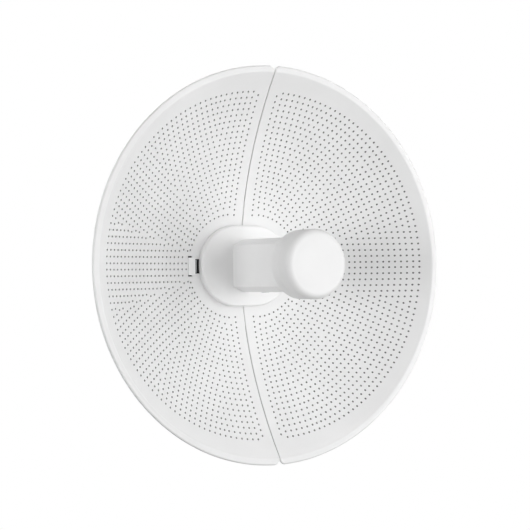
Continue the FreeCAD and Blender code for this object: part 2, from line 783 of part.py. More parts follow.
def latch(side):
    """A spring arm from the backplate, whose head hooks over the reflector's window edge."""
    arm_outer = latch_arm_x + latch_arm_thick / 2
    arm_inner = latch_arm_x - latch_arm_thick / 2
    under = dish_y(latch_head_outer) - slide_gap
    under_inner = dish_y(latch_head_inner) - slide_gap
    top = under - latch_head_thick
    top_inner = under_inner - latch_head_thick

    def slab(points, half):
        ring = [V(side * x, y, -half) for x, y in points]
        return Part.Face(Part.makePolygon(ring + ring[:1])).extrude(V(0, 0, 2 * half))

    head = slab([(latch_head_outer, under), (latch_head_inner, under_inner),
                 (latch_head_inner, top_inner), (latch_head_outer, top)], latch_head_half)
    across = [e for e in head.Edges
              if abs(e.Vertexes[0].Z - e.Vertexes[-1].Z) > latch_head_half
              and e.CenterOfMass.y < under - latch_head_thick / 2]
    head = head.makeFillet(latch_head_edge, across)
    root_y = latch_pivot_y()
    arm = slab([(arm_outer, root_y), (arm_outer, under - latch_overlap),
                (arm_inner, under_inner - latch_overlap), (arm_inner, root_y)], latch_arm_half)
    root = rod(latch_arm_thick / 2, 2 * latch_arm_half,
               V(side * latch_arm_x, root_y, -latch_arm_half), Z_AXIS)
    ramp = slab([(arm_inner + latch_overlap, under_inner - latch_overlap),
                 (arm_inner - ramp_step, vertex_y - ramp_tip),
                 (arm_inner + latch_overlap, vertex_y + ramp_foot)], latch_arm_half)
    return together([head, arm, root, ramp])


# ---- radio housing ----
def hub_shell():
    """The oval hub cover, hollow behind, down to the dish's face."""
    outer = stadium(hub_straight, hub_radius, hub_face_y, vertex_y + cut_over)
    front = [e for e in outer.Edges
             if abs(e.CenterOfMass.y - hub_face_y) < same_place
             and abs(e.Vertexes[0].Y - e.Vertexes[-1].Y) < same_place]
    outer = outer.makeFillet(hub_edge, front)
    inner = stadium(hub_straight, hub_radius - wall, hub_face_y + wall, vertex_y + cut_over)
    ahead = space_before_dish(hub_front + cut_over, hub_radius + hub_straight + cut_over)
    shell = outer.cut(inner)
    bosses = []
    for sx in SIDES:
        for sz in SIDES:
            x, z = hub_screw_place
            bosses.append(rod_y(hub_boss, hub_face_y + wall / 2, vertex_y, sx * x, sz * z))
    return together([shell.common(ahead)] + [b.common(ahead) for b in bosses])


def radio_housing():
    neck_end = vertex_y - flare_start
    flare_y = vertex_y - flare_end
    drum = bevelled(rod_y(drum_radius, cap_y, flare_y))
    body = together([hub_shell(), neck_bar(0, neck_end, tail_y), flare(0, neck_end, flare_y), drum])
    ledge_y = panel_y - panel_thick - gasket_thick - ledge_thick
    bore = [neck_bar(wall, neck_end, ledge_y), flare(wall, neck_end, flare_y),
            rod_y(drum_radius - wall, cap_y, flare_y),
            neck_bar(wall + ledge_width, ledge_y, tail_y), neck_bar(wall, ledge_y + ledge_thick, tail_y)]
    x, z = hub_screw_place
    pilot = [rod_y(M4[0] + run_gap, hub_face_y + wall + pilot_floor, vertex_y + cut_over, sx * x, sz * z)
             for sx in SIDES for sz in SIDES]
    bottom = -neck_height / 2
    light = box(light_x - light_width / 2 - slide_gap, light_x + light_width / 2 + slide_gap,
                vertex_y - light_y - light_length / 2 - slide_gap,
                vertex_y - light_y + light_length / 2 + slide_gap, bottom - cut_over,
                bottom + wall + cut_over)
    under = V(0, vertex_y - reset_y, bottom - cut_over)
    reset = [rod(reset_radius + run_gap, wall + 2 * cut_over, under, Z_AXIS),
             rod(reset_recess_radius, reset_recess + cut_over, under, Z_AXIS)]
    rails = [rail_groove(side) for side in SIDES]
    hollow = less(body, bore + pilot + [light] + reset + rails)
    bosses = [panel_boss_of(sz, ledge_y - panel_boss_length, ledge_y + ledge_thick) for sz in SIDES]
    holes = [rod_y(M3[0] + run_gap, ledge_y - panel_boss_length + panel_boss_floor, tail_y, panel_screw_x,
                   sz * panel_screw_z) for sz in SIDES]
    return less(together([hollow] + bosses), holes)


def panel_boss_of(side, y0, y1):
    """A boss on the neck's inner side for one of the panel's screws."""
    z = side * panel_screw_z
    foot = box(panel_screw_x, neck_inner_x + wall / 2, y0, y1, z - panel_boss, z + panel_boss)
    return together([rod_y(panel_boss, y0, y1, panel_screw_x, z), foot])


def rail_y():
    return tail_y - cover_overlap + rail_start


def rail_groove(side):
    x0, x1 = sorted((side * (neck_width / 2 - rail_depth), side * (neck_width / 2 + cut_over)))
    return box(x0, x1, rail_y(), rail_y() + rail_width, -neck_height, neck_height)


def bevelled(shape):
    """The shape with its round edge at the joint between the cap and the drum bevelled."""
    rim = [e for e in shape.Edges if abs(e.CenterOfMass.y - cap_y) < same_place and e.Closed]
    return shape.makeChamfer(joint_bevel, rim)


def feed_cap():
    """The round radome over the feed, with a spigot that plugs into the drum."""
    outer = rod_y(drum_radius, front_y, cap_y)
    front = [e for e in outer.Edges if abs(e.CenterOfMass.y - front_y) < same_place and e.Closed]
    outer = bevelled(outer.makeFillet(cap_edge, front))
    spigot_radius = drum_radius - wall - seat_gap
    spigot = rod_y(spigot_radius, cap_y, cap_y + spigot_length)
    hollow = rod_y(drum_radius - 2 * wall, front_y + wall, cap_y + spigot_length)
    front = [e for e in hollow.Edges if abs(e.CenterOfMass.y - front_y - wall) < same_place and e.Closed]
    hollow = hollow.makeFillet(cap_edge - wall, front)
    groove_y = cap_y + spigot_length / 2
    groove = rod_y(spigot_radius + cut_over, groove_y - groove_half, groove_y + groove_half).cut(
        rod_y(spigot_radius - groove_depth, groove_y - groove_half, groove_y + groove_half))
    return less(together([outer, spigot]), [hollow, groove])


def cap_seal():
    radius = drum_radius - wall - seat_gap - seal_sunk
    return Part.makeTorus(radius, seal_radius, V(0, cap_y + spigot_length / 2, 0), Y_AXIS)


# ---- feed ----
def feed_disc():
    y = vertex_y - disc_y
    return rod_y(disc_radius, y, y + disc_thick)


def feed_spacer():
    """A slotted ring that holds the metal disc off the dipole board."""
    near, far = vertex_y - disc_y + disc_thick, vertex_y - dipole_y
    ring = rod_y(spacer_radius, near, far).cut(rod_y(spacer_radius - spacer_wall, near, far))
    slots = []
    for angle in (0, 120, 240):
        slot = box(spacer_radius - 2 * spacer_wall, spacer_radius + spacer_wall, near + spacer_end,
                   far - spacer_end, -spacer_slot / 2, spacer_slot / 2)
        slot.rotate(V(0, 0, 0), Y_AXIS, angle)
        slots.append(slot)
    return less(ring, slots)


def coax_x():
    return board_x - coax_radius


def dipole_board():
    y = vertex_y - dipole_y
    plate = rod_y(dipole_radius, y, y + board_thick)
    holes = [rod_y(coax_radius + run_gap, y, y + board_thick, coax_x(), sz * coax_spacing / 2)
             for sz in SIDES]
    return less(plate, holes)


def coax_leads():
    """Two leads from the dipole board to the main board's front edge, along its face."""
    front_can_end = vertex_y - front_can_start - front_can_length
    return [rod_y(coax_radius, vertex_y - dipole_y, front_can_end - slide_gap, coax_x(),
                  sz * coax_spacing / 2) for sz in SIDES]


def dipole_holder():
    """The ring that carries the dipole board inside the drum."""
    y = vertex_y - dipole_y + board_thick
    outer = drum_radius - wall - slide_gap
    ring = rod_y(outer, y, y + holder_thick)
    return ring.cut(rod_y(dipole_radius - holder_overlap, y, y + holder_thick))


# ---- electronics ----
def main_board():
    back = jack_face_y()
    plate = box(board_x, board_x + board_thick, vertex_y - board_front, back, -board_half, board_half)
    rows = (vertex_y - board_front + board_hole_inset, vertex_y - rear_can_start + 2 * board_hole_inset)
    return less(plate, [rod_x(board_hole, board_x, board_x + board_thick, y,
                              sz * (board_half - board_hole_inset))
                        for y in rows for sz in SIDES])


def jack_face_y():
    """The jacks' faces lie against the panel."""
    return panel_y - panel_thick


def ethernet_jacks():
    """Two 8P8C jacks, with their mouths to the back."""
    face = jack_face_y()
    middle = board_x - jack_height / 2
    half_mouth = jack_mouth_height / 2
    jacks = []
    for sz in SIDES:
        z = sz * jack_spacing / 2
        shell = box(board_x - jack_height, board_x, face - jack_depth, face, z - jack_width / 2,
                    z + jack_width / 2)
        mouth = box(middle - half_mouth, middle + half_mouth, face - jack_mouth_depth, face,
                    z - jack_mouth_width / 2, z + jack_mouth_width / 2)
        tab = box(middle - half_mouth - jack_tab_depth, middle, face - jack_mouth_depth, face,
                  z - jack_tab_width / 2, z + jack_tab_width / 2)
        jacks.append(less(shell, [mouth, tab]))
    return jacks


def shield_cans():
    half = board_half - can_edge
    cans = []
    for start, length in ((rear_can_start, rear_can_length), (front_can_start, front_can_length)):
        y0, y1 = vertex_y - start - length, vertex_y - start
        can = box(board_x - can_height, board_x, y0, y1, -half, half)
        inside = box(board_x - can_height + can_wall, board_x, y0 + can_wall, y1 - can_wall,
                     -half + can_wall, half - can_wall)
        cans.append(can.cut(inside))
    return cans


def thermal_pad():
    x = board_x + board_thick
    y1 = vertex_y - pad_start
    half = board_half - pad_edge
    return box(x, x + pad_thick, y1 - pad_length, y1, -half, half)


def heat_spreader():
    """A ribbed plate on the pad, along the board's back."""
    x = board_x + board_thick + pad_thick
    y1 = vertex_y - pad_start
    half = board_half - pad_edge + spreader_margin
    plate = box(x, x + spreader_thick, y1 - pad_length - spreader_margin, y1 + spreader_margin, -half, half)
    count = int((half - fin_thick) / fin_pitch)
    fins = [box(x + spreader_thick, x + spreader_thick + fin_height, y1 - pad_length, y1,
                k * fin_pitch - fin_thick / 2, k * fin_pitch + fin_thick / 2)
            for k in range(-count, count + 1)]
    return together([plate] + fins)


def reset_top():
    """Z of the face of the button's foot that meets the switch."""
    return -neck_inner_z + reset_reach


def reset_switch():
    """The tact switch on the board's lower edge, above the button."""
    y = vertex_y - reset_y
    case = box(board_x - switch_height, board_x, y - switch_width / 2, y + switch_width / 2,
               -board_half, -board_half + switch_height)
    bottom = reset_top() + reset_travel + run_gap
    plunger = rod(plunger_radius, -board_half - bottom + run_gap,
                  V(board_x - switch_height / 2, y, bottom), Z_AXIS)
    return together([case, plunger])


def reset_button():
    """A short plunger through the neck's underside, with a foot that reaches under the switch."""
    y = vertex_y - reset_y
    low = -neck_height / 2 + reset_recess - reset_proud
    foot_z = -neck_inner_z + run_gap
    stem = rod(reset_radius, foot_z - low + reset_collar / 2, V(0, y, low), Z_AXIS)
    collar = rod(reset_radius + reset_collar, reset_collar, V(0, y, foot_z), Z_AXIS)
    foot = box(-reset_radius / 2, board_x - reset_collar, y - plunger_radius, y + plunger_radius,
               foot_z + reset_collar / 2, reset_top())
    return together([stem, collar, foot])


def status_lights():
    """The clear lens bar over the four indicator lights, in the neck's underside."""
    bottom = -neck_height / 2
    y = vertex_y - light_y
    bar = box(light_x - light_width / 2, light_x + light_width / 2, y - light_length / 2,
              y + light_length / 2, bottom - light_proud, bottom + wall)
    low = [e for e in bar.Edges if e.BoundBox.ZMax < bottom]
    bar = bar.makeFillet(light_proud * 0.8, low)
    pipes = [rod(light_pipe, wall + light_pipe,
                 V(light_x, y + k * light_pipe_pitch, bottom + wall / 2), Z_AXIS)
             for k in (-1.5, -0.5, 0.5, 1.5)]
    return together([bar] + pipes)


# ---- tail: panel, gasket, cover ----
def panel_outline(inset, y0, y1):
    return neck_bar(wall + inset, y0, y1)


def panel_window(y0, y1):
    """The openings in front of the jacks' mouths."""
    middle = board_x - jack_height / 2
    half = jack_mouth_width / 2 + window_margin
    x0 = middle - jack_mouth_height / 2 - jack_tab_depth - window_margin
    x1 = middle + jack_mouth_height / 2 + window_margin
    return [box(x0, x1, y0, y1, sz * jack_spacing / 2 - half, sz * jack_spacing / 2 + half)
            for sz in SIDES]


def port_panel():
    y0 = panel_y - panel_thick
    plate = panel_outline(seat_gap, y0, panel_y)
    holes = [rod_y(M3[0] + bolt_gap, y0, panel_y, panel_screw_x, sz * panel_screw_z) for sz in SIDES]
    return less(plate, panel_window(y0, panel_y) + holes)


def panel_gasket():
    y1 = panel_y - panel_thick
    y0 = y1 - gasket_thick
    ring = panel_outline(seat_gap, y0, y1).cut(panel_outline(ledge_width, y0, y1))
    pads = [panel_boss_of(sz, y0, y1).common(panel_outline(seat_gap, y0, y1)) for sz in SIDES]
    holes = [rod_y(M3[0] + bolt_gap, y0, y1, panel_screw_x, sz * panel_screw_z) for sz in SIDES]
    return less(together([ring] + pads), holes)


def panel_screws():
    length = panel_thick + gasket_thick + panel_screw_reach
    return [screw(M3, V(panel_screw_x, panel_y, sz * panel_screw_z), -Y_AXIS, length) for sz in SIDES]


def port_cover():
    """The hood over the plugs, open at the front and notched below for the cables."""
    outer = cover_inner + wall
    half = neck_height / 2
    near, far = tail_y - cover_overlap, tail_y + cover_depth
    shell = box(-outer, outer, near, far, -half, half)
    upright = [e for e in shell.Edges
               if abs(e.Vertexes[0].Z - e.Vertexes[-1].Z) > half and e.CenterOfMass.y > far - wall]
    shell = shell.makeFillet(cover_corner, upright)
    hollow = box(-cover_inner, cover_inner, near, far - wall, -half + wall, half - wall)
    upright = [e for e in hollow.Edges
               if abs(e.Vertexes[0].Z - e.Vertexes[-1].Z) > half and e.CenterOfMass.y > far - 2 * wall]
    hollow = hollow.makeFillet(cover_corner - wall, upright)
    front = box(-cover_inner, cover_inner, near, tail_y + slide_gap, -half, half)
    cable = box(-grommet_radius, grommet_radius, tail_y + slide_gap, grommet_y(), -half, -half + wall)
    cable_round = rod(grommet_radius, wall, V(0, grommet_y(), -half), Z_AXIS)
    shell = less(shell, [hollow, front, cable, cable_round])
    ribs = []
    for side in SIDES:
        x0, x1 = sorted((side * (cover_inner - rail_depth), side * (cover_inner + rail_root)))
        ribs.append(box(x0, x1, rail_y() + slide_gap, rail_y() + rail_width - slide_gap, -half, half))
    grips = [box(-grip_half_length, grip_half_length, far - grip_root, far + grip_height,
                 k * grip_pitch - grip_half_width, k * grip_pitch + grip_half_width)
             for k in range(-2, 3)]
    return together([shell] + ribs + grips)


def grommet_y():
    return tail_y + grommet_place


def grommet_slab(radius, start, z, height):
    """A layer of the grommet: straight sides from start to a round end."""
    straight = box(-radius, radius, start, grommet_y(), z, z + height)
    return together([straight, rod(radius, height, V(0, grommet_y(), z), Z_AXIS)])


def cable_grommet():
    """The rubber plug in the cover's notch, with two cable holes."""
    floor = -neck_height / 2
    lower, upper = floor - lip_height, floor + wall + lip_height
    start = tail_y + slide_gap + 2 * grommet_gap
    neck = grommet_slab(grommet_radius - grommet_gap, start, floor, wall)
    lips = [grommet_slab(grommet_radius + grommet_lip, start, z, lip_thick)
            for z in (lower, floor + wall + grommet_gap)]
    core = box(-grommet_radius + grommet_lip, grommet_radius - grommet_lip, grommet_y() - grommet_core,
               grommet_y(), lower, upper - grommet_gap)
    holes = [rod(cable_radius, upper - lower + cut_over,
                 V(sx * cable_spacing / 2, tail_y + cable_place, lower - cut_over / 2), Z_AXIS)
             for sx in SIDES]
    return less(together([neck, core] + lips), holes)


def main():
    full_sheet = turned(rim_outline())
    nodes = {
        "pole_bracket": pole_bracket(),
        "clamp_jaw": clamp_jaw(),
        "clamp_bolts": clamp_bolts(),
        "clamp_washers": clamp_washers(),
        "clamp_nuts": clamp_nuts(),
        "pivot_bolts": through_bolts(0),
        "pivot_washers": outer_washers(0),
        "pivot_nuts": outer_nuts(0),
        "lock_bolts": through_bolts(lock_radius),
        "lock_washers": outer_washers(lock_radius),
        "lock_nuts": outer_nuts(lock_radius),
        "mount_yoke": mount_yoke(),
        "yoke_screws": yoke_screws(),
        "reflector_left": reflector(-1, full_sheet),
        "reflector_right": reflector(1, full_sheet),
        "seam_screws": seam_screws(),
        "seam_nuts": seam_nuts(),
        "hub_backplate": hub_backplate(),
        "plate_screws": plate_screws(),
        "hub_screws": hub_screws(),
        "ground_screw": ground_screw(),
        "ground_washer": ground_washer(),
        "latch_left": latch(-1),
        "latch_right": latch(1),
        "radio_housing": radio_housing(),
        "feed_cap": feed_cap(),
        "cap_seal": cap_seal(),
        "feed_disc": feed_disc(),
        "feed_spacer": feed_spacer(),
        "dipole_board": dipole_board(),
        "dipole_holder": dipole_holder(),
        "coax_leads": coax_leads(),
        "main_board": main_board(),
        "ethernet_jacks": ethernet_jacks(),
        "shield_cans": shield_cans(),
        "thermal_pad": thermal_pad(),
        "heat_spreader": heat_spreader(),
        "reset_switch": reset_switch(),
        "reset_button": reset_button(),
        "status_lights": status_lights(),
        "port_panel": port_panel(),
        "panel_gasket": panel_gasket(),
        "panel_screws": panel_screws(),
        "port_cover": port_cover(),
        "cable_grommet": cable_grommet(),
    }
    os.makedirs("parts", exist_ok=True)
    for name, shape in nodes.items():
        if isinstance(shape, list):
            shape = Part.makeCompound(shape)
        solids = shape.Solids
        state = "" if shape.isValid() and solids else "   <-- INVALID"
        print(f"{name}: {len(solids)} solids, {sum(s.Volume for s in solids):.0f} mm3{state}")
        shape.exportStep(f"parts/{name}.step")


main()
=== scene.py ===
"""The looks of the outdoor wireless bridge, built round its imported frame. Metres, Z up."""
import json
import math

import bpy
from mathutils import Matrix, Vector
from mathutils.geometry import delaunay_2d_cdt


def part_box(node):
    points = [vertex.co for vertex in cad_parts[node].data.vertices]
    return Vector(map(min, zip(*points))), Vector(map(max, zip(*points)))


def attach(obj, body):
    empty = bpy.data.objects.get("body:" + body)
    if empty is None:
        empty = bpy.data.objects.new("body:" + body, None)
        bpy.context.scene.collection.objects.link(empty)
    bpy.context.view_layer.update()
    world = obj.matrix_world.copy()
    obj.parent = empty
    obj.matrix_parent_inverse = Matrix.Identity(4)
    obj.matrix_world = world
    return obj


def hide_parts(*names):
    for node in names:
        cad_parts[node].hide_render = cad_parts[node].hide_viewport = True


MM = 0.001
SAME_PLACE = 0.01 * MM
MERGE_REACH = 0.0001 * MM

# ---- the reflector's sheet, as the frame has it ----
FOCAL = 117 * MM
RIM_FLANGE = 6 * MM
SHEET = 1 * MM
RIM_CURL = 1.8 * MM
RIM_DROP = 2.6 * MM
RIM_CORNER = 6 * MM
SEAM_BEND = 0.7 * MM
RIM_BEND = 1.0 * MM             # each side of the corner between the parabola and the rim
FLANGE_DEPTH = 9 * MM
FLANGE_START = 60.6 * MM        # from the dish's level; nearer in, the backplate is in the way
FLANGE_END = 174 * MM

# ---- the holes: rings round a centre beside the seam, a column along the seam, a row round the hub ----
HOLE_RADIUS = 0.92 * MM
HOLE_SIDES = 10
RING_CENTRE = 7.25 * MM
RING_OUTER = 162.4 * MM
RING_INNER = 40 * MM
RING_PITCH = 5.0 * MM
ARC_PITCH = 5.92 * MM
SECTOR = math.radians(29.35)
ROW_OFFSET = 0.47               # of the arc pitch, from a sector's middle to its first rows
LEAST_GAP = 0.8                 # of the arc pitch, between the last row of two sectors
ARC_SECTORS = 2.5               # up to here the holes stand on arcs, and beyond it beside the seam
SEAM_ROW_START = 0.4            # of the arc pitch, past there
FIRST_X = 16 * MM
COLUMN_X = 10.15 * MM
COLUMN_TOP = 159.5 * MM
COLUMN_BOTTOM = 49.3 * MM
COLUMN_PITCH = 4.97 * MM
HUB_CENTRE = 12.1 * MM
HUB_RING = 49.8 * MM
HUB_PITCH = 5.3 * MM
HUB_FIRST_X = 13 * MM
HUB_CLEAR = 0.55                # of the ring pitch, between the row round the hub and the rings
# dark discs halfway through the sheet close each hole: painted shade, so that the holes read dark from both
# sides
HOLE_SHADE_TONE = 0.15
HOLE_SHADE_DEPTH = 0.45                # of the sheet's thickness, from each of its faces

# ---- the sheet's other cut-outs and how finely it is drawn ----
NECK_HALF_X = 16.5 * MM
NECK_HALF_Z = 26.2 * MM
NECK_CUT_X = 12.18 * MM
NECK_CUT_Z = 5.66 * MM
WINDOW_OUTER = 62.3 * MM
WINDOW_STEP = 57.4 * MM
WINDOW_INNER = 47.5 * MM
WINDOW_HALF = 9.8 * MM
WINDOW_NARROW = 6.8 * MM
PLAIN_INNER = 47 * MM           # the sheet has no holes round the window, in this box
PLAIN_OUTER = 64.5 * MM
PLAIN_HALF = 11.5 * MM
POCKET_OUTER = 63.8 * MM
POCKET_DEPTH = 10 * MM          # behind the dish's vertex
LIP_START = 54.6 * MM           # of the rounded lip on a latch's head, on the side towards the hub
LIP_REACH = 2.8 * MM
LIP_DROP = 1.4 * MM
LIP_SUNK = 0.4 * MM             # below the head's face
HEAD_RISE = 1.9 * MM            # from the head's outer end back to its inner end
LIP_HALF = 6.2 * MM
LIP_THICK = 0.8 * MM
LIP_STEPS = 8
# a black lining in each latch's pocket: painted shade that darkens the pocket seen through the window
SHADE_LINING_END = 55.9 * MM            # of the painted shade lining on the pocket's floor, beside the latch's arm
SHADE_LINING_THICK = 0.4 * MM
SHADE_LINING_GAP = 0.3 * MM
RIM_STEPS = 90
CORNER_STEPS = 12
SEAM_STEPS = 84
BEND_STEPS = 4
FILLER_PITCH = 2.6 * MM
FILLER_ROW = 6 * MM             # inside the rim's bend
FILLER_EDGE = 0.7 * MM          # clear of the seam's bend
FILLER_CORNER = 2.4 * MM        # clear of the rounded corner

# ---- floor and light ----
FLOOR_Z = -2.2
FLOOR_RADIUS = 3.2
FLOOR_SIDES = 96
FLOOR_FADE = 0.45                # of the radius, where it starts to fade out
FLOOR_GLOW = 0.5                 # to the camera alone, so that the floor looks pale
SKY_LEVEL = 0.045
SKY_ENDS = 0.16                  # more than that from straight ahead and straight behind
# name, azimuth and elevation in degrees, distance, width, height, watts
SOFT_BOXES = (
    ("tall_left", -55, 0, 1.6, 0.4, 2.2, 3.1),
    ("tall_right", 30, 0, 1.6, 0.4, 2.2, 10.7),
    ("tall_far_right", 55, 0, 1.6, 0.4, 2.2, 7.7),
    ("small_far_left", -75, 0, 1.6, 0.5, 0.5, 5.3),
    ("small_left", -50, 0, 1.6, 0.5, 0.5, 3.0),
    ("small_front", 0, 0, 1.6, 0.5, 0.5, 2.9),
    ("small_far_right", 50, 0, 1.6, 0.5, 0.5, 2.5),
    ("upper_left", -60, 45, 1.6, 0.7, 0.7, 1.5),
    ("upper_right", 60, 45, 1.6, 0.7, 0.7, 0.4),
    ("upper_front", 0, 45, 1.6, 0.7, 0.7, 1.2),
    ("top", 0, 75, 1.6, 0.7, 0.7, 0.5),
    ("behind_left", -150, 25, 1.8, 1.6, 1.6, 12.5),
    ("behind_right", 150, 25, 1.8, 1.6, 1.6, 12.5),
)

# ---- camera ----
CAMERA_AZIMUTH = math.radians(-30.53)
CAMERA_ELEVATION = math.radians(-0.49)
CAMERA_ROLL = math.radians(-0.742)
CAMERA_DISTANCE = 1327.4 * MM
CAMERA_LENS = 94.84
AIM = Vector((0, -149.2, 0)) * MM
AIM_RIGHT = 4.45 * MM
AIM_UP = 0.485 * MM

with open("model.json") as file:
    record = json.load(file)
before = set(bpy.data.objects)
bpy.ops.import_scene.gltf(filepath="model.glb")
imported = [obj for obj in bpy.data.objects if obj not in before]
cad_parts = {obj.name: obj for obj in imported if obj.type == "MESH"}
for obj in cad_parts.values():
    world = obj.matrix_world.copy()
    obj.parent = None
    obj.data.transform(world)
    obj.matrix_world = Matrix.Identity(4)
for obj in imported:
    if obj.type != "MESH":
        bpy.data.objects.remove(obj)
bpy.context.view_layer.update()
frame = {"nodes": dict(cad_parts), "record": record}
nodes = frame["nodes"]


# ---- camera ----
def add_camera():
    back = Vector((math.sin(CAMERA_AZIMUTH) * math.cos(CAMERA_ELEVATION),
                   -math.cos(CAMERA_AZIMUTH) * math.cos(CAMERA_ELEVATION),
                   math.sin(CAMERA_ELEVATION)))
    right = (-back).cross(Vector((0, 0, 1))).normalized()
    up = right.cross(-back)
    cos, sin = math.cos(CAMERA_ROLL), math.sin(CAMERA_ROLL)
    right, up = cos * right + sin * up, cos * up - sin * right
    target = AIM + AIM_RIGHT * right + AIM_UP * up
    place = target + back * CAMERA_DISTANCE
    data = bpy.data.cameras.new("camera")
    data.lens = CAMERA_LENS
    data.clip_start = 0.01
    camera = bpy.data.objects.new("camera", data)
    bpy.context.scene.collection.objects.link(camera)
    camera.matrix_world = Matrix((
        (right.x, up.x, back.x, place.x),
        (right.y, up.y, back.y, place.y),
        (right.z, up.z, back.z, place.z),
        (0, 0, 0, 1)))
    bpy.context.scene.camera = camera


add_camera()


# ---- materials ----
def material(name, colour, roughness, metallic=0.0):
    made = bpy.data.materials.new(name)
    made.use_nodes = True
    shader = made.node_tree.nodes["Principled BSDF"]
    shader.inputs["Base Color"].default_value = (*colour, 1)
    shader.inputs["Roughness"].default_value = roughness
    shader.inputs["Metallic"].default_value = metallic
    made.diffuse_color = (*colour, 1)
    return made


def node(made, kind, **values):
    item = made.node_tree.nodes.new(kind)
    for key, value in values.items():
        if key in item.inputs:
            item.inputs[key].default_value = value
        else:
            setattr(item, key, value)
    return item


def link(made, start, end):
    made.node_tree.links.new(start, end)


def place_of(made):
    """The object's own coordinates, in metres."""
    return node(made, "ShaderNodeTexCoord").outputs["Object"]


def noise(made, scale, detail=2.0):
    item = node(made, "ShaderNodeTexNoise", Scale=scale, Detail=detail)
    link(made, place_of(made), item.inputs["Vector"])
    return item.outputs["Fac"]


def tint(made, low, high, source, start=0.35, end=0.65):
    """The base colour runs from low to high as the source does from start to end."""
    ramp = node(made, "ShaderNodeValToRGB")
    ramp.color_ramp.elements[0].position = start
    ramp.color_ramp.elements[0].color = (*low, 1)
    ramp.color_ramp.elements[1].position = end
    ramp.color_ramp.elements[1].color = (*high, 1)
    link(made, source, ramp.inputs["Fac"])
    link(made, ramp.outputs["Color"], made.node_tree.nodes["Principled BSDF"].inputs["Base Color"])


def shine(made, low, high, source):
    """The roughness runs from low to high with the source."""
    spread = node(made, "ShaderNodeMapRange")
    spread.inputs["To Min"].default_value = low
    spread.inputs["To Max"].default_value = high
    link(made, source, spread.inputs["Value"])
    link(made, spread.outputs["Result"], made.node_tree.nodes["Principled BSDF"].inputs["Roughness"])


def relief(made, source, depth, edge=0.0):
    """A bump of that depth, over edges that look rounded by that radius."""
    bump = node(made, "ShaderNodeBump", Distance=depth)
    bump.inputs["Strength"].default_value = 1.0
    link(made, source, bump.inputs["Height"])
    if edge:
        bevel = node(made, "ShaderNodeBevel", Radius=edge)
        bevel.samples = 6
        link(made, bevel.outputs["Normal"], bump.inputs["Normal"])
    link(made, bump.outputs["Normal"], made.node_tree.nodes["Principled BSDF"].inputs["Normal"])


def powder_coat(name, colour, edge=0.0, roughness=0.42):
    """Paint baked on from powder: orange peel a millimetre or two across, and faint cloudiness."""
    made = material(name, colour, roughness)
    dull = tuple(0.965 * c for c in colour)
    tint(made, dull, colour, noise(made, 14.0, 4.0))
    shine(made, roughness - 0.05, roughness + 0.09, noise(made, 60.0, 3.0))
    relief(made, noise(made, 720.0, 3.0), 0.00003, edge)
    return made


def moulded(name, colour, roughness, edge=0.0004, depth=0.000015):
    """Moulded plastic: a fine spark-eroded grain and faint flow marks."""
    made = material(name, colour, roughness)
    dull = tuple(0.97 * c for c in colour)
    tint(made, dull, colour, noise(made, 22.0, 3.0))
    shine(made, roughness - 0.04, roughness + 0.06, noise(made, 90.0, 3.0))
    relief(made, noise(made, 2600.0, 2.0), depth, edge)
    return made


def turned_metal(name, colour, roughness, edge=0.00025):
    """A metal fastener with fine tool marks and a little wear."""
    made = material(name, colour, roughness, 1.0)
    dull = tuple(0.78 * c for c in colour)
    tint(made, dull, colour, noise(made, 420.0, 4.0), 0.3, 0.6)
    shine(made, roughness - 0.08, roughness + 0.14, noise(made, 900.0, 3.0))
    relief(made, noise(made, 1500.0, 3.0), 0.00002, edge)
    return made


def cast_metal(name, colour):
    """Blasted casting with a tumbled, slightly mottled surface."""
    made = material(name, colour, 0.5, 1.0)
    dull = tuple(0.86 * c for c in colour)
    tint(made, dull, colour, noise(made, 240.0, 5.0), 0.3, 0.7)
    shine(made, 0.46, 0.58, noise(made, 300.0, 3.0))
    relief(made, noise(made, 850.0, 5.0), 0.00012, 0.0006)
    return made


def rubber(name, colour):
    made = material(name, colour, 0.72)
    light = tuple(min(1.0, 1.7 * c) for c in colour)
    tint(made, colour, light, noise(made, 150.0, 4.0))
    relief(made, noise(made, 1800.0, 3.0), 0.00003, 0.0003)
    return made


def circuit_board(name):
    """Green solder mask with paler copper tracks under it."""
    made = material(name, (0.02, 0.16, 0.07), 0.38)
    weave = node(made, "ShaderNodeTexVoronoi", Scale=520.0)
    weave.distance = "MANHATTAN"
    link(made, place_of(made), weave.inputs["Vector"])
    tint(made, (0.03, 0.21, 0.09), (0.015, 0.12, 0.05), weave.outputs["Distance"], 0.1, 0.35)
    relief(made, weave.outputs["Distance"], 0.00002, 0.0002)
    return made


def lens(name):
    """Milky clear plastic over the indicator lights."""
    made = material(name, (0.78, 0.80, 0.80), 0.22)
    tint(made, (0.72, 0.74, 0.75), (0.82, 0.84, 0.84), noise(made, 300.0, 2.0))
    relief(made, noise(made, 1200.0, 2.0), 0.00001, 0.0004)
    return made


def painted_hole_shade(name):
    """Painted shade on the dark discs halfway through the sheet's holes, a little uneven."""
    made = material(name, (HOLE_SHADE_TONE,) * 3, 0.9)
    tint(made, (0.8 * HOLE_SHADE_TONE,) * 3, (1.2 * HOLE_SHADE_TONE,) * 3, noise(made, 40.0, 2.0))
    return made


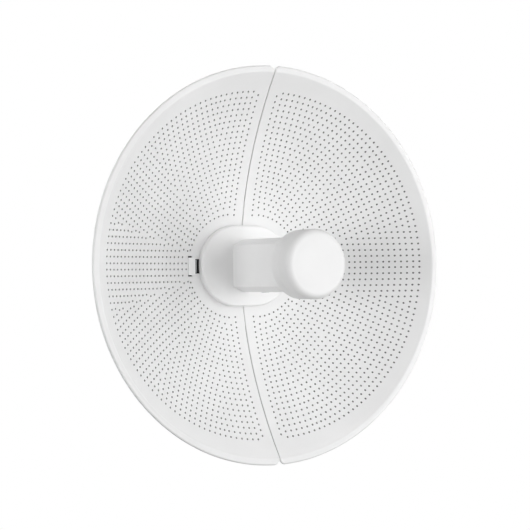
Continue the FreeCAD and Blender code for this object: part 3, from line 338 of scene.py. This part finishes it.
WELD_REACH = 0.005 * MM
SMOOTH_LIMIT = math.radians(30)
WHITE_PAINT = (0.83, 0.83, 0.83)
WHITE_PLASTIC = (0.84, 0.84, 0.84)
finishes = {
    "reflector_coat": powder_coat("reflector_coat", WHITE_PAINT),
    "housing": moulded("housing_plastic", WHITE_PLASTIC, 0.44),
    "latch": moulded("latch_plastic", (0.90, 0.90, 0.90), 0.36),
    "dark_plastic": moulded("dark_plastic", (0.035, 0.035, 0.037), 0.45),
    "button": moulded("button_plastic", (0.30, 0.31, 0.32), 0.40),
    "spacer": moulded("spacer_plastic", (0.70, 0.70, 0.68), 0.40),
    "yoke_coat": powder_coat("yoke_coat", (0.72, 0.73, 0.73), 0.0005, 0.38),
    "cast_alloy": cast_metal("cast_alloy", (0.50, 0.505, 0.51)),
    "stainless": turned_metal("stainless", (0.56, 0.555, 0.545), 0.32),
    "brass": turned_metal("brass", (0.72, 0.52, 0.22), 0.30),
    "tinned": turned_metal("tinned_sheet", (0.70, 0.70, 0.69), 0.34),
    "jack_shell": turned_metal("jack_shell", (0.66, 0.66, 0.66), 0.26),
    "spreader": turned_metal("spreader_aluminium", (0.74, 0.75, 0.76), 0.36),
    "rubber": rubber("black_rubber", (0.022, 0.022, 0.023)),
    "pad": rubber("thermal_pad", (0.26, 0.29, 0.33)),
    "coax": moulded("coax_jacket", (0.10, 0.10, 0.11), 0.5, 0.0002),
    "board": circuit_board("circuit_board"),
    "lens": lens("lens"),
}


def finish_nodes():
    """The frame's own solids get their slot's finish, and smooth shading up to 30 degrees."""
    slots = {row["node"]: row["material_slot"] for row in frame["record"]["subparts"]}
    for name, obj in nodes.items():
        obj.data.materials.clear()
        obj.data.materials.append(finishes[slots[name]])
        for face in obj.data.polygons:
            face.use_smooth = True
        weld = obj.modifiers.new("weld", "WELD")
        weld.merge_threshold = WELD_REACH
        split = obj.modifiers.new("split", "EDGE_SPLIT")
        split.split_angle = SMOOTH_LIMIT


finish_nodes()


# ---- the reflector's holes ----
def ring_angles(radius):
    """The holes on one ring: straight rows beside two radii and the seam, arcs between them."""
    count = int((radius * SECTOR / 2) / ARC_PITCH - ROW_OFFSET) + 1
    rows = [(ROW_OFFSET + j) * ARC_PITCH / radius for j in range(count)]
    gap = SECTOR - 2 * rows[-1]
    if gap < LEAST_GAP * ARC_PITCH / radius:
        rows.pop()
        gap = SECTOR - 2 * rows[-1]
    fill = round(gap * radius / ARC_PITCH) - 1
    between = [rows[-1] + gap * (i + 1) / (fill + 1) for i in range(fill)]
    found = list(rows)
    for sector in (1, 2):
        found += [sector * SECTOR + a for a in rows] + [sector * SECTOR - a for a in rows]
        found += [(sector - 1) * SECTOR + a for a in between]
    edge = ARC_SECTORS * SECTOR
    x = FIRST_X
    beside_seam = []
    while (x - RING_CENTRE) / radius < math.cos(edge + SEAM_ROW_START * ARC_PITCH / radius):
        beside_seam.append(math.acos((x - RING_CENTRE) / radius))
        x += ARC_PITCH
    if beside_seam:
        last = 2 * SECTOR + rows[-1]
        gap = beside_seam[-1] - last
        fill = max(round(gap * radius / ARC_PITCH) - 1, 0)
        found += beside_seam + [last + gap * (i + 1) / (fill + 1) for i in range(fill)]
    return found + [-a for a in found]


def clear_of_window(x, z):
    return not (PLAIN_INNER < x < PLAIN_OUTER and abs(z) < PLAIN_HALF)


def hole_centres():
    """(x, z) of each hole in the half with positive x."""
    found = []
    for k in range(int((RING_OUTER - RING_INNER) / RING_PITCH) + 1):
        radius = RING_OUTER - k * RING_PITCH
        for angle in ring_angles(radius):
            x = RING_CENTRE + radius * math.cos(angle)
            z = radius * math.sin(angle)
            clear_of_hub = math.hypot(x - HUB_CENTRE, z) >= HUB_RING + HUB_CLEAR * RING_PITCH
            if x >= FIRST_X - SAME_PLACE and clear_of_hub and clear_of_window(x, z):
                found.append((x, z))
    count = round((COLUMN_TOP - COLUMN_BOTTOM) / COLUMN_PITCH)
    for k in range(count + 1):
        z = COLUMN_TOP + (COLUMN_BOTTOM - COLUMN_TOP) * k / count
        found += [(COLUMN_X, z), (COLUMN_X, -z)]
    count = round(math.pi * HUB_RING / HUB_PITCH)
    for k in range(count + 1):
        angle = math.pi * (k / count - 0.5)
        x, z = HUB_CENTRE + HUB_RING * math.cos(angle), HUB_RING * math.sin(angle)
        if x >= HUB_FIRST_X and clear_of_window(x, z):
            found.append((x, z))
    return found


# ---- the reflector's halves ----
reflector_low, reflector_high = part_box("reflector_right")
DISH_RADIUS = reflector_high.x
RIM_RADIUS = DISH_RADIUS - RIM_FLANGE
RIM_Y = reflector_low.y
VERTEX_Y = RIM_Y + RIM_RADIUS ** 2 / (4 * FOCAL)
SEAM_X = reflector_low.x


def rise(radius):
    """How far the front face is ahead of the vertex there, and its slope."""
    start = RIM_RADIUS - RIM_BEND
    if radius <= start:
        return radius ** 2 / (4 * FOCAL), radius / (2 * FOCAL)
    base, slope = start ** 2 / (4 * FOCAL), start / (2 * FOCAL)
    run = min(radius - start, 2 * RIM_BEND)
    return base + slope * (run - run * run / (4 * RIM_BEND)), slope * (1 - run / (2 * RIM_BEND))


def face_point(x, z, back=0.0):
    """The point of the sheet over (x, z), back behind its front face, and the normal there."""
    radius = math.hypot(x, z)
    height, slope = rise(radius)
    toward = Vector((-slope * x / radius, -1, -slope * z / radius)) if radius else Vector((0, -1, 0))
    toward.normalize()
    return Vector((x, VERTEX_Y - height, z)) - back * toward, toward


def circle(x, z, radius, sides, turn):
    return [Vector((x + radius * math.cos(turn + 2 * math.pi * k / sides),
                    z + radius * math.sin(turn + 2 * math.pi * k / sides))) for k in range(sides)]


def edge_points():
    """The sheet's outer edge in the half with positive x: rim, corner and seam, anticlockwise.

    Each is (place, outward direction, bend radius, depth of the turned edge).
    """
    corner = Vector((SEAM_X + RIM_CORNER, DISH_RADIUS - RIM_CORNER))
    limit = math.atan2(corner.y, corner.x)
    rim, turn, seam = [], [], []
    for k in range(-RIM_STEPS, RIM_STEPS + 1):
        away = Vector((math.cos(limit * k / RIM_STEPS), math.sin(limit * k / RIM_STEPS)))
        rim.append((DISH_RADIUS * away, away, RIM_CURL, RIM_DROP))
    for k in range(1, CORNER_STEPS):
        share = k / CORNER_STEPS
        angle = limit + (math.pi - limit) * share
        away = Vector((math.cos(angle), math.sin(angle)))
        bend = RIM_CURL + (SEAM_BEND - RIM_CURL) * share
        turn.append((corner + RIM_CORNER * away, away, bend, RIM_DROP))
    for k in range(SEAM_STEPS + 1):
        z = corner.y * (1 - 2 * k / SEAM_STEPS)
        depth = FLANGE_DEPTH if FLANGE_START < abs(z) < FLANGE_END else RIM_DROP
        seam.append((Vector((SEAM_X, z)), Vector((-1, 0)), SEAM_BEND, depth))
    lower = [(Vector((p.x, -p.y)), Vector((a.x, -a.y)), b, d) for p, a, b, d in reversed(turn)]
    return rim + turn + seam + lower


def neck_notch(start_x):
    """The half of the neck's eight-sided opening that the seam cuts through."""
    return [Vector((start_x, NECK_HALF_Z)), Vector((NECK_HALF_X - NECK_CUT_X, NECK_HALF_Z)),
            Vector((NECK_HALF_X, NECK_HALF_Z - NECK_CUT_Z)), Vector((NECK_HALF_X, -NECK_HALF_Z + NECK_CUT_Z)),
            Vector((NECK_HALF_X - NECK_CUT_X, -NECK_HALF_Z)), Vector((start_x, -NECK_HALF_Z))]


def latch_window():
    """Wide where the latch's head passes, narrow towards the hub."""
    return [Vector(p) for p in (
        (WINDOW_OUTER, -WINDOW_HALF), (WINDOW_OUTER, WINDOW_HALF), (WINDOW_STEP, WINDOW_HALF),
        (WINDOW_STEP, WINDOW_NARROW), (WINDOW_INNER, WINDOW_NARROW), (WINDOW_INNER, -WINDOW_NARROW),
        (WINDOW_STEP, -WINDOW_NARROW), (WINDOW_STEP, -WINDOW_HALF))]


def in_window(spot):
    half = WINDOW_HALF if spot.x > WINDOW_STEP else WINDOW_NARROW
    return WINDOW_INNER < spot.x < WINDOW_OUTER and abs(spot.y) < half


def filler_points(start_x):
    """Rows of plain points round the rim, so that its bend and flat are drawn cleanly."""
    corner = Vector((SEAM_X + RIM_CORNER, DISH_RADIUS - RIM_CORNER))
    spots = []
    rings = [RIM_RADIUS + RIM_BEND * k / 2 for k in (-2, -1, 0, 1, 2)] + [RIM_RADIUS - FILLER_ROW]
    for radius in rings:
        last = math.acos((start_x + FILLER_EDGE) / radius)
        steps = int(last * radius / FILLER_PITCH)
        for k in range(-steps, steps + 1):
            spot = Vector((radius * math.cos(last * k / steps), radius * math.sin(last * k / steps)))
            across, up = corner.x - spot.x, abs(spot.y) - corner.y
            if not (across > 0 and up > 0 and math.hypot(across, up) > RIM_CORNER - FILLER_CORNER):
                spots.append(spot)
    return spots


class Sheet:
    """A mesh under way, with a normal for every corner of every face."""

    def __init__(self):
        self.points, self.faces, self.normals, self.kinds = [], [], [], []

    def add(self, place):
        self.points.append(place)
        return len(self.points) - 1

    def face(self, corners, normals, kind=0):
        self.faces.append(corners)
        self.normals.extend(normals)
        self.kinds.append(kind)

    def strip(self, first, second, normals, kind=0):
        """Quads between two closed or open rows of points, with one normal for each column."""
        for k in range(len(first) - 1):
            self.face((first[k + 1], second[k + 1], second[k], first[k]),
                      (normals[k + 1], normals[k + 1], normals[k], normals[k]), kind)

    def make(self, name, mirror):
        side = -1 if mirror else 1
        mesh = bpy.data.meshes.new(name)
        faces, normals, start = [], [], 0
        for corners in self.faces:
            own = self.normals[start:start + len(corners)]
            start += len(corners)
            if mirror:
                corners, own = corners[::-1], own[::-1]
            faces.append(corners)
            normals.extend((side * n.x, n.y, n.z) for n in own)
        mesh.from_pydata([(side * p.x, p.y, p.z) for p in self.points], [], faces)
        for face, kind in zip(mesh.polygons, self.kinds):
            face.use_smooth = True
            face.material_index = kind
        mesh.normals_split_custom_set(normals)
        obj = bpy.data.objects.new(name, mesh)
        bpy.context.scene.collection.objects.link(obj)
        return obj


def hole_wall(sheet, loop, ring_front, ring_back, normal):
    """A hole's wall, in from each face of the sheet as far as the disc of painted shade between them."""
    middle = sum(loop, Vector((0, 0))) / len(loop)
    inward = [Vector((middle.x - p.x, 0, middle.y - p.y)).normalized() for p in loop]
    shade_disc_front = [sheet.add(face_point(p.x, p.y, HOLE_SHADE_DEPTH * SHEET)[0]) for p in loop]
    shade_disc_back = [sheet.add(face_point(p.x, p.y, (1 - HOLE_SHADE_DEPTH) * SHEET)[0]) for p in loop]
    closed = [row + row[:1] for row in (ring_front, shade_disc_front, shade_disc_back, ring_back, inward)]
    sheet.strip(closed[0], closed[1], closed[4])
    sheet.strip(closed[2], closed[3], closed[4])
    # the dark discs of painted shade that close the hole halfway through
    sheet.face(tuple(shade_disc_front), [normal] * len(loop), 1)
    sheet.face(tuple(shade_disc_back[::-1]), [-normal] * len(loop), 1)


def open_outline(edge, start_x):
    """The edge from one side of the neck's opening round to the other, and the flat sheet's border."""
    border = [p - b * a for p, a, b, _ in edge]
    beside_neck = [a.x == -1 and abs(p.y) < NECK_HALF_Z for p, a, _, _ in edge]
    first = beside_neck.index(True)
    last = len(edge) - beside_neck[::-1].index(True)
    return edge[last:] + edge[:first], border[last:] + border[:first] + neck_notch(start_x)


def flat_triangles(loops, extra):
    """The flat sheet's points and triangles, the loop that owns each point, and each loop point's place."""
    points, pairs, owner = [], [], []
    for index, loop in enumerate(loops):
        start = len(points)
        points.extend(loop)
        owner.extend([index] * len(loop))
        pairs.extend((start + k, start + (k + 1) % len(loop)) for k in range(len(loop)))
    points.extend(extra)
    owner.extend([-1] * len(extra))
    found, _, triangles, origins, _, _ = delaunay_2d_cdt(points, pairs, [], 1, MERGE_REACH)
    owner = [owner[ids[0]] for ids in origins]
    order = {ids[0]: k for k, ids in enumerate(origins)}
    return found, triangles, owner, order


def sheet_faces(sheet, found, triangles, owner):
    """The sheet's front and back, without the triangles inside a hole or the latch's window."""
    front, back, normals = [], [], []
    for spot in found:
        place, normal = face_point(spot.x, spot.y)
        front.append(sheet.add(place))
        back.append(sheet.add(place - SHEET * normal))
        normals.append(normal)
    for a, b, c in triangles:
        if owner[a] == owner[b] == owner[c] > 1:
            continue
        if owner[a] == owner[b] == owner[c] == 1 and in_window((found[a] + found[b] + found[c]) / 3):
            continue
        # the plane's x and z, seen from the front, run clockwise
        turn = (found[b] - found[a]).cross(found[c] - found[a])
        if turn < 0:
            b, c = c, b
        sheet.face((front[a], front[b], front[c]), (normals[a], normals[b], normals[c]))
        sheet.face((back[a], back[c], back[b]), (-normals[a], -normals[c], -normals[b]))
    return front, back, normals


def window_wall(sheet, loop, ring_front, ring_back):
    """The wall of the latch's window, which faces into the window."""
    for k in range(len(loop)):
        after = (k + 1) % len(loop)
        along = loop[after] - loop[k]
        inward = Vector((-along.y, 0, along.x)).normalized()
        sheet.face((ring_front[after], ring_back[after], ring_back[k], ring_front[k]), [inward] * 4)


def notch_wall(sheet, flat, first, front, back):
    """The wall along the neck's opening: the border from its point number first back to its start."""
    for k in range(first, len(flat)):
        after = (k + 1) % len(flat)
        along = flat[after] - flat[k]
        outward = Vector((along.y, 0, -along.x)).normalized()
        sheet.face((front[k], back[k], back[after], front[after]), [outward] * 4)


def perforated_half():
    """One half of the reflector, for positive x: two faces, the holes' walls, and the turned edges."""
    sheet = Sheet()
    start_x = SEAM_X + SEAM_BEND
    edge, flat = open_outline(edge_points(), start_x)
    loops = [flat, latch_window()]
    loops += [circle(x, z, HOLE_RADIUS, HOLE_SIDES, math.atan2(z, x)) for x, z in hole_centres()]
    found, triangles, owner, order = flat_triangles(loops, filler_points(start_x))
    front, back, normals = sheet_faces(sheet, found, triangles, owner)
    rings, start = [], 0
    for loop in loops:
        rings.append([order[start + k] for k in range(len(loop))])
        start += len(loop)
    fronts = [[front[k] for k in ring] for ring in rings]
    backs = [[back[k] for k in ring] for ring in rings]
    window_wall(sheet, loops[1], fronts[1], backs[1])
    for loop, ring, ring_front, ring_back in list(zip(loops, rings, fronts, backs))[2:]:
        hole_wall(sheet, loop, ring_front, ring_back, normals[ring[0]])
    notch_wall(sheet, flat, len(edge) - 1, fronts[0], backs[0])
    turned_edge(sheet, edge, fronts[0][:len(edge)], backs[0][:len(edge)],
                [normals[k] for k in rings[0][:len(edge)]])
    return sheet


def turned_edge(sheet, edge, outer, inner, normals):
    """The bend at the sheet's outer edge, the straight stretch behind it, and its end."""
    starts = [Vector(sheet.points[k]) for k in outer]
    for step in range(1, BEND_STEPS + 2):
        angle = math.pi / 2 * min(step, BEND_STEPS) / BEND_STEPS
        new_outer, new_inner, outward = [], [], []
        for (_, away, bend, depth), start, normal in zip(edge, starts, normals):
            side = Vector((away.x, 0, away.y))
            side = (side - side.dot(normal) * normal).normalized()
            face = math.cos(angle) * normal + math.sin(angle) * side
            place = start + bend * math.sin(angle) * side - bend * (1 - math.cos(angle)) * normal
            if step > BEND_STEPS:
                place -= (depth - bend) * normal
            new_outer.append(sheet.add(place))
            new_inner.append(sheet.add(place - SHEET * face))
            outward.append(face)
        before = normals if step == 1 else last_outward
        for k in range(len(edge) - 1):
            sheet.face((outer[k], new_outer[k], new_outer[k + 1], outer[k + 1]),
                       (before[k], outward[k], outward[k + 1], before[k + 1]))
            sheet.face((inner[k], inner[k + 1], new_inner[k + 1], new_inner[k]),
                       (-before[k], -before[k + 1], -outward[k + 1], -outward[k]))
        sheet.face((outer[0], inner[0], new_inner[0], new_outer[0]), [Vector((0, 0, 1))] * 4)
        sheet.face((outer[-1], new_outer[-1], new_inner[-1], inner[-1]), [Vector((0, 0, -1))] * 4)
        outer, inner, last_outward = new_outer, new_inner, outward
    for k in range(len(edge) - 1):
        sheet.face((outer[k], inner[k], inner[k + 1], outer[k + 1]),
                   (-normals[k], -normals[k], -normals[k + 1], -normals[k + 1]))


half = perforated_half()
for name, mirror in (("reflector_right", False), ("reflector_left", True)):
    skin = half.make(name + "_skin", mirror)
    skin.data.materials.append(finishes["reflector_coat"])
    # the second material is the painted shade in the holes
    skin.data.materials.append(painted_hole_shade("painted_hole_shade"))
    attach(skin, "head")
    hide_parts(name)


# ---- small pieces ----
def piece(name, points, faces, body, slot):
    mesh = bpy.data.meshes.new(name)
    mesh.from_pydata(points, [], faces)
    obj = bpy.data.objects.new(name, mesh)
    bpy.context.scene.collection.objects.link(obj)
    obj.data.materials.append(finishes[slot])
    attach(obj, body)
    return obj


def painted_shade_lining(name, side):
    """A black lining on the walls of a latch's pocket, and on its floor as far as the latch's arm: painted
    shade that darkens the pocket seen through the window.
    """
    near, far, half = WINDOW_INNER + SHADE_LINING_GAP, POCKET_OUTER - SHADE_LINING_GAP, WINDOW_HALF - SHADE_LINING_GAP
    ring = [(near, -half), (SHADE_LINING_END, -half), (far, -half), (far, half), (SHADE_LINING_END, half), (near, half)]
    count = len(ring)
    front = [face_point(side * x, z, SHEET + SHADE_LINING_GAP)[0] for x, z in ring]
    floor_y = VERTEX_Y + POCKET_DEPTH - SHADE_LINING_GAP
    back = [Vector((side * x, floor_y, z)) for x, z in ring]
    faces = [(k, (k + 1) % count, count + (k + 1) % count, count + k) for k in range(count)]
    faces.append((count, count + 1, count + 4, count + 5))
    if side < 0:
        faces = [corners[::-1] for corners in faces]
    # the black rubber finish here stands in for the pocket's shade: painted shade
    lining = piece(name, front + back, faces, "head", "rubber")
    thick = lining.modifiers.new("thickness", "SOLIDIFY")
    thick.thickness = SHADE_LINING_THICK
    thick.offset = 1


def latch_lip_painted_shade(name, node_name, side, body):
    """The rounded lip that leads from a latch's head down into its window, grey as painted shade where it
    falls away.
    """
    head_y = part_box(node_name)[0].y
    steps = [math.pi / 2 * k / LIP_STEPS for k in range(LIP_STEPS + 1)]
    places = [(side * (LIP_START - LIP_REACH * math.sin(a)),
               head_y + HEAD_RISE + LIP_SUNK + LIP_DROP * (1 - math.cos(a))) for a in steps]
    points = [(x, y, z) for x, y in places for z in (-LIP_HALF, LIP_HALF)]
    faces = [(2 * k, 2 * k + 1, 2 * k + 3, 2 * k + 2) for k in range(LIP_STEPS)]
    if side < 0:
        faces = [corners[::-1] for corners in faces]
    # the grey button finish is painted shade on the lip
    lip = piece(name, points, faces, body, "button")
    for face in lip.data.polygons:
        face.use_smooth = True
    thick = lip.modifiers.new("thickness", "SOLIDIFY")
    thick.thickness = LIP_THICK
    thick.offset = -1


for side, hand in ((1, "right"), (-1, "left")):
    painted_shade_lining("painted_shade_lining_" + hand, side)
    latch_lip_painted_shade("latch_lip_painted_shade_" + hand, "latch_" + hand, side, hand + "_latch")


# ---- floor and light ----
def add_floor():
    """A pale disc well below the dish, which fades out at its edge."""
    mesh = bpy.data.meshes.new("floor")
    turns = [2 * math.pi * side / FLOOR_SIDES for side in range(FLOOR_SIDES)]
    points = [(FLOOR_RADIUS * math.cos(turn), FLOOR_RADIUS * math.sin(turn), 0.0) for turn in turns]
    mesh.from_pydata(points, [], [tuple(range(FLOOR_SIDES))])
    floor = bpy.data.objects.new("floor", mesh)
    floor.location = (0, VERTEX_Y, FLOOR_Z)
    bpy.context.scene.collection.objects.link(floor)
    made = material("floor", (0.86, 0.86, 0.86), 0.9)
    tree = made.node_tree
    reach = node(made, "ShaderNodeVectorMath", operation="LENGTH")
    link(made, place_of(made), reach.inputs[0])
    fade = node(made, "ShaderNodeMapRange", interpolation_type="SMOOTHSTEP")
    fade.inputs["From Min"].default_value = FLOOR_FADE * FLOOR_RADIUS
    fade.inputs["From Max"].default_value = FLOOR_RADIUS
    link(made, reach.outputs["Value"], fade.inputs["Value"])
    path = node(made, "ShaderNodeLightPath")
    glow = node(made, "ShaderNodeMath", operation="MULTIPLY")
    glow.inputs[1].default_value = FLOOR_GLOW
    link(made, path.outputs["Is Camera Ray"], glow.inputs[0])
    clear = node(made, "ShaderNodeBsdfTransparent")
    blend = node(made, "ShaderNodeMixShader")
    shader = tree.nodes["Principled BSDF"]
    shader.inputs["Emission Color"].default_value = (1, 1, 1, 1)
    link(made, glow.outputs[0], shader.inputs["Emission Strength"])
    link(made, fade.outputs["Result"], blend.inputs[0])
    link(made, shader.outputs["BSDF"], blend.inputs[1])
    link(made, clear.outputs["BSDF"], blend.inputs[2])
    link(made, blend.outputs["Shader"], tree.nodes["Material Output"].inputs["Surface"])
    made.blend_method = "BLEND"
    floor.data.materials.append(made)


def add_world():
    """White to the camera and in reflections; for the lighting, brighter ahead and behind."""
    world = bpy.data.worlds.new("world")
    bpy.context.scene.world = world
    world.use_nodes = True
    tree = world.node_tree
    lit = tree.nodes["Background"]
    output = tree.nodes["World Output"]
    white = tree.nodes.new("ShaderNodeBackground")
    path = tree.nodes.new("ShaderNodeLightPath")
    either = tree.nodes.new("ShaderNodeMath")
    either.operation = "MAXIMUM"
    any_of = tree.nodes.new("ShaderNodeMath")
    any_of.operation = "MAXIMUM"
    blend = tree.nodes.new("ShaderNodeMixShader")
    tree.links.new(path.outputs["Is Camera Ray"], either.inputs[0])
    tree.links.new(path.outputs["Is Glossy Ray"], either.inputs[1])
    tree.links.new(either.outputs[0], any_of.inputs[0])
    tree.links.new(path.outputs["Is Transmission Ray"], any_of.inputs[1])
    tree.links.new(any_of.outputs[0], blend.inputs[0])
    tree.links.new(lit.outputs[0], blend.inputs[1])
    tree.links.new(white.outputs[0], blend.inputs[2])
    tree.links.new(blend.outputs[0], output.inputs["Surface"])
    coordinates = tree.nodes.new("ShaderNodeTexCoord")
    parts = tree.nodes.new("ShaderNodeSeparateXYZ")
    tree.links.new(coordinates.outputs["Generated"], parts.inputs[0])
    square = tree.nodes.new("ShaderNodeMath")
    square.operation = "MULTIPLY"
    tree.links.new(parts.outputs["Y"], square.inputs[0])
    tree.links.new(parts.outputs["Y"], square.inputs[1])
    strength = tree.nodes.new("ShaderNodeMath")
    strength.operation = "MULTIPLY_ADD"
    tree.links.new(square.outputs[0], strength.inputs[0])
    strength.inputs[1].default_value = SKY_ENDS
    strength.inputs[2].default_value = SKY_LEVEL
    tree.links.new(strength.outputs[0], lit.inputs["Strength"])
    lit.inputs["Color"].default_value = (1, 1, 1, 1)
    white.inputs["Color"].default_value = (1, 1, 1, 1)
    white.inputs["Strength"].default_value = 1.0


def soft_box(name, azimuth, elevation, distance, width, height, power):
    """An area light that looks at the middle of the dish."""
    a, e = math.radians(azimuth), math.radians(elevation)
    back = Vector((math.sin(a) * math.cos(e), -math.cos(a) * math.cos(e), math.sin(e)))
    data = bpy.data.lights.new(name, "AREA")
    data.shape = "RECTANGLE"
    data.size, data.size_y, data.energy = width, height, power
    lamp = bpy.data.objects.new(name, data)
    lamp.location = AIM + distance * back
    lamp.rotation_euler = back.to_track_quat("Z", "Y").to_euler()
    bpy.context.scene.collection.objects.link(lamp)


add_floor()
add_world()
for box in SOFT_BOXES:
    soft_box(*box)
bpy.context.scene.view_settings.view_transform = "Standard"
